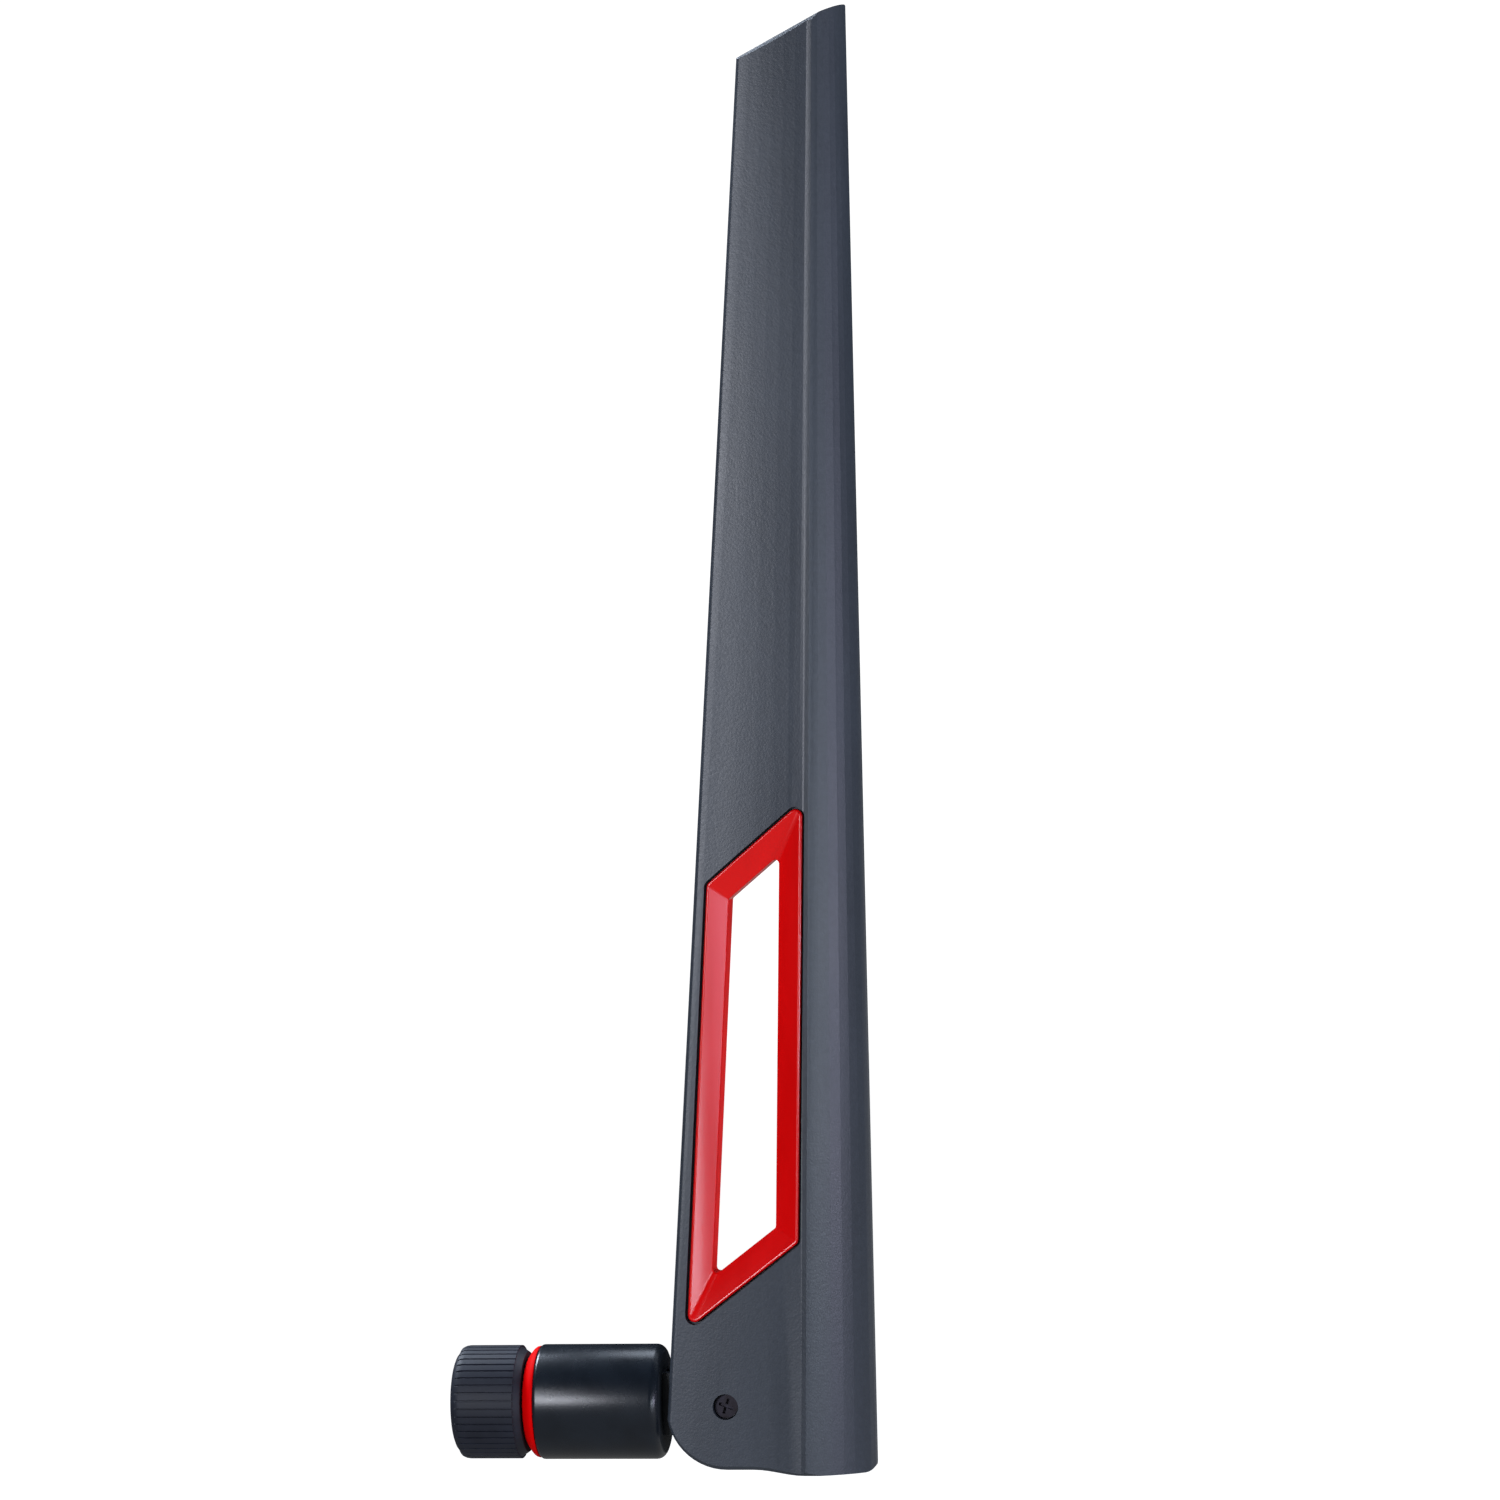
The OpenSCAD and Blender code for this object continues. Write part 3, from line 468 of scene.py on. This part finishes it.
def board_laminate():
    """Green board with the weave of its glass cloth showing faintly."""
    look = Look("board_laminate", (0.015, 0.13, 0.05), 0.32, Coat_Weight=0.3, Coat_Roughness=0.15)
    warp = look.noise(2600, detail=1, stretch=(1, 1, 0.08))
    weft = look.noise(2600, detail=1, stretch=(0.08, 1, 1))
    weave = look.maths("MAXIMUM", warp, weft)
    look.tint(look.spread(weave, 0, 1), dark=0.75, light=1.3)
    look.gloss(weave, change=0.05)
    look.bump(weave, depth=0.00001, strength=0.5)
    return look


def foam():
    """Dark foam with open cells, with painted shade darkening the pits at the cell centres."""
    look = Look("foam", (0.035, 0.036, 0.038), 0.92, Sheen_Weight=0.2)
    cells = look.cells(2200)
    # Painted shade: the colour darkens towards each cell's centre, where the bump below makes a pit
    look.tint(look.spread(cells, 0, 1, start=0.0, end=0.6), dark=0.45, light=1.5)
    look.bump(cells, depth=0.00012, strength=0.8)
    return look


# Every function is named after its material slot, and ring_red is the accent ring's own
MAKERS = (blade_plastic, stem_plastic, nut_plastic, red_gloss, ring_red, brass, gold_contact,
          spring_steel, screw_steel, crimp_metal, white_insulator, natural_plastic, black_sleeve,
          cable_jacket, board_laminate, copper, solder, foam)


def all_looks():
    return {make.__name__: make().material for make in MAKERS}


# Softened edges on the CAD nodes

SHARP_ANGLE = math.radians(28)
JOIN_DISTANCE = 2e-6

# Widths in millimetres. The shells have none: their edges are chamfered in the solids, and a
# bevel would unsmooth their long lofted faces.
EDGE_WIDTHS = {"front_bezel": 0.12, "rear_bezel": 0.12,
               "nut_grip": 0.05, "stem_barrel": 0.1, "pivot_screw": 0.06, "coupling_nut": 0.08,
               "connector_body": 0.06, "swivel_bush": 0.06, "crimp_ferrule": 0.06,
               "heat_shrink": 0.08, "antenna_board": 0.04, "accent_ring": 0.05}


def smoothing_group():
    """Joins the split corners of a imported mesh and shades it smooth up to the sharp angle."""
    tree = bpy.data.node_groups.new("joined_smooth", "GeometryNodeTree")
    tree.interface.new_socket("Geometry", in_out="INPUT", socket_type="NodeSocketGeometry")
    tree.interface.new_socket("Geometry", in_out="OUTPUT", socket_type="NodeSocketGeometry")
    source = tree.nodes.new("NodeGroupInput")
    result = tree.nodes.new("NodeGroupOutput")
    merge = tree.nodes.new("GeometryNodeMergeByDistance")
    merge.inputs["Distance"].default_value = JOIN_DISTANCE
    angle = tree.nodes.new("GeometryNodeInputMeshEdgeAngle")
    sharp = tree.nodes.new("FunctionNodeCompare")
    sharp.data_type = "FLOAT"
    sharp.operation = "GREATER_THAN"
    sharp.inputs["B"].default_value = SHARP_ANGLE
    normal = tree.nodes.new("GeometryNodeSetMeshNormal")
    normal.mode = "SHARPNESS"
    tree.links.new(source.outputs[0], merge.inputs["Geometry"])
    tree.links.new(merge.outputs["Geometry"], normal.inputs["Mesh"])
    tree.links.new(angle.outputs["Unsigned Angle"], sharp.inputs["A"])
    tree.links.new(sharp.outputs["Result"], normal.inputs["Edge Sharpness"])
    tree.links.new(normal.outputs["Mesh"], result.inputs[0])
    return tree


def round_edges(obj, width):
    """Rounds the sharp edges by a width in millimetres and keeps the faces beside them flat."""
    bevel = obj.modifiers.new("edges", "BEVEL")
    bevel.width = width * MM
    bevel.segments = 2
    bevel.limit_method = "ANGLE"
    bevel.angle_limit = SHARP_ANGLE
    bevel.use_clamp_overlap = True
    bevel.face_strength_mode = "FSTR_ALL"
    weighted = obj.modifiers.new("weighted", "WEIGHTED_NORMAL")
    weighted.mode = "CORNER_ANGLE"
    weighted.use_face_influence = True
    weighted.keep_sharp = True


def dress_nodes():
    slots = {part["node"]: part["material_slot"] for part in frame["record"]["subparts"]}
    slots["accent_ring"] = "ring_red"
    group = smoothing_group()
    for name, obj in nodes.items():
        obj.data.materials.clear()
        obj.data.materials.append(looks[slots[name]])
        obj.modifiers.new("joined", "NODES").node_group = group
        if name in EDGE_WIDTHS:
            round_edges(obj, EDGE_WIDTHS[name])


# Pieces made here

def new_piece(name, bm, body, slot, smooth=True):
    mesh = bpy.data.meshes.new(name)
    bm.to_mesh(mesh)
    bm.free()
    mesh.polygons.foreach_set("use_smooth", [smooth] * len(mesh.polygons))
    mesh.materials.append(looks[slot])
    obj = add_object(name, mesh)
    if body:
        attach(obj, body)
    return obj


def loft(rings):
    """Skins rings of points, each ring closed on itself, and closes both ends."""
    bm = bmesh.new()
    rows = [[bm.verts.new(p) for p in ring] for ring in rings]
    n = len(rows[0])
    for a, b in zip(rows, rows[1:]):
        for i in range(n):
            j = (i + 1) % n
            bm.faces.new((a[i], a[j], b[j], b[i]))
    bm.faces.new(rows[0][::-1])
    bm.faces.new(rows[-1])
    bmesh.ops.recalc_face_normals(bm, faces=bm.faces)
    return bm


# Thread of the nut, in millimetres
THREAD_PITCH = 25.4 / 36
THREAD_ROOT_R = 3.22
THREAD_CREST_R = 2.88
THREAD_START = 0.35
THREAD_END = 3.1
THREAD_STEPS_PER_TURN = 56
THREAD_RUN_OUT_TURNS = 0.35
THREAD_LOWEST_SHARE = 0.08
THREAD_HALF_ROOT = 0.46 * THREAD_PITCH
THREAD_HALF_CREST = 0.06


def thread_ring(turn, turns):
    """Section of the ridge at a number of turns from its start, lower near both ends."""
    fade = min(1.0, turn / THREAD_RUN_OUT_TURNS, (turns - turn) / THREAD_RUN_OUT_TURNS)
    height = (THREAD_ROOT_R - THREAD_CREST_R) * max(fade, THREAD_LOWEST_SHARE)
    crest = THREAD_ROOT_R - height
    x = THREAD_START + turn * THREAD_PITCH
    a = -2 * math.pi * turn
    section = [(x - THREAD_HALF_ROOT, THREAD_ROOT_R), (x - THREAD_HALF_CREST, crest),
               (x + THREAD_HALF_CREST, crest), (x + THREAD_HALF_ROOT, THREAD_ROOT_R)]
    return [(px * MM, r * math.sin(a) * MM, r * math.cos(a) * MM) for px, r in section]


def coupling_thread():
    """Right-handed quarter-inch 36 thread on the wall of the nut's bore."""
    turns = (THREAD_END - THREAD_START) / THREAD_PITCH
    count = int(turns * THREAD_STEPS_PER_TURN)
    rings = [thread_ring(k / THREAD_STEPS_PER_TURN, turns) for k in range(count + 1)]
    new_piece("nut_thread", loft(rings), "nut", "brass", smooth=False)


# Foam, as shares of the pad's half size
FOAM_CUTS = 23
FOAM_SIDE_PULL = 0.05
FOAM_CORNER_POWER = 6
FOAM_INSET = 0.985
FOAM_GRAIN = 0.012
FOAM_GRAINS_PER_METRE = 900


def foam_piece(node):
    """Die-cut foam: soft corners, sides that bulge a little, an uneven open-cell skin."""
    low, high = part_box(node)
    middle = (low + high) / 2
    half = (high - low) / 2
    bm = bmesh.new()
    bmesh.ops.create_cube(bm, size=2)
    bmesh.ops.subdivide_edges(bm, edges=bm.edges[:], cuts=FOAM_CUTS, use_grid_fill=True)
    for v in bm.verts:
        p = v.co.copy()
        for i in range(3):
            pull = math.prod(1 - FOAM_SIDE_PULL * abs(p[j]) ** FOAM_CORNER_POWER
                             for j in range(3) if j != i)
            v.co[i] = p[i] * pull * FOAM_INSET
        grain = noise.noise(v.co * half.length * FOAM_GRAINS_PER_METRE)
        v.co += v.co.normalized() * FOAM_GRAIN * grain
        v.co = Vector([middle[i] + half[i] * max(-1, min(1, v.co[i])) for i in range(3)])
    piece = new_piece(node.replace("_pad_", "_block_"), bm, "blade", "foam")
    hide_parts(node)


# Cable, in millimetres. The route is the one of part.scad: along the stem, through the hinge
# with x from the pivot, up the straight run beside the board, and over to the feed.
CABLE_R = 0.7
CABLE_SIDES = 16
CABLE_STEP = 0.6
CABLE_STEM = [(11.4, 0, 0), (14, 0, 0), (18, 0, 0), (22, 0, 0)]
CABLE_HINGE = [(-10, 0, 0), (-7.8, 0, 0.5), (-6, 0, 1.7), (-4.8, 0, 3.5), (-4.4, 0, 5.5),
               (-3.5, 0, 7.5), (-1.4, 0, 8.4), (1.5, 0, 8.5), (5, 0, 8.5), (8.5, 0, 8.6),
               (11.5, 0, 9.2), (13.6, 0, 10.8), (14.5, 0, 13.2), (14.6, 0, 16)]
CABLE_RUN = [(14.6, 0, z) for z in range(21, 72, 5)]
CABLE_BOARD = [(14.5, -0.5, 75), (14.1, -1.1, 79), (13.2, -1.3, 83), (12.2, -1.3, 87),
               (11.6, -1.3, 91), (11.5, -1.3, 96), (11.5, -1.3, 101), (11.5, -1.3, 106),
               (11.5, -1.3, 112)]


def spline(points, step):
    """Points about a step apart on the smooth curve through the given ones."""
    p = [Vector(q) for q in points]
    p = [p[0] * 2 - p[1]] + p + [p[-1] * 2 - p[-2]]
    made = []
    for a, b, c, d in zip(p, p[1:], p[2:], p[3:]):
        count = max(1, round((c - b).length / step))
        for k in range(count):
            t = k / count
            made.append(0.5 * (2 * b + (c - a) * t + (2 * a - 5 * b + 4 * c - d) * t * t
                               + (3 * b - a - 3 * c + d) * t ** 3))
    return made + [p[-2]]


def cable_ring(at, way):
    """Ring of points round the cable's middle, square to its way."""
    side = way.cross(Vector((0, 1, 0))).normalized()
    up = side.cross(way)
    angles = [2 * math.pi * i / CABLE_SIDES for i in range(CABLE_SIDES)]
    return [(at + CABLE_R * (math.cos(a) * side + math.sin(a) * up)) * MM for a in angles]


def cable():
    """The coaxial cable as a round tube that bends where it crosses the hinge."""
    px = PIVOT_X / MM
    route = CABLE_STEM + [(x + px, y, z) for x, y, z in CABLE_HINGE + CABLE_RUN + CABLE_BOARD]
    path = spline(route, CABLE_STEP)
    ways = [(b - a).normalized() for a, b in zip(path[:1] + path, path[1:] + path[-1:])]
    rings = [cable_ring(at, way) for at, way in zip(path, ways)]
    piece = new_piece("cable_tube", loft(rings), None, "cable_jacket")
    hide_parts("coax_cable")
    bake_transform(piece)


add_camera()
looks = all_looks()
add_world()
add_floor()
add_lights()
bpy.context.scene.view_settings.view_transform = "Standard"
dress_nodes()
coupling_thread()
foam_piece("foam_pad_front")
foam_piece("foam_pad_rear")
cable()
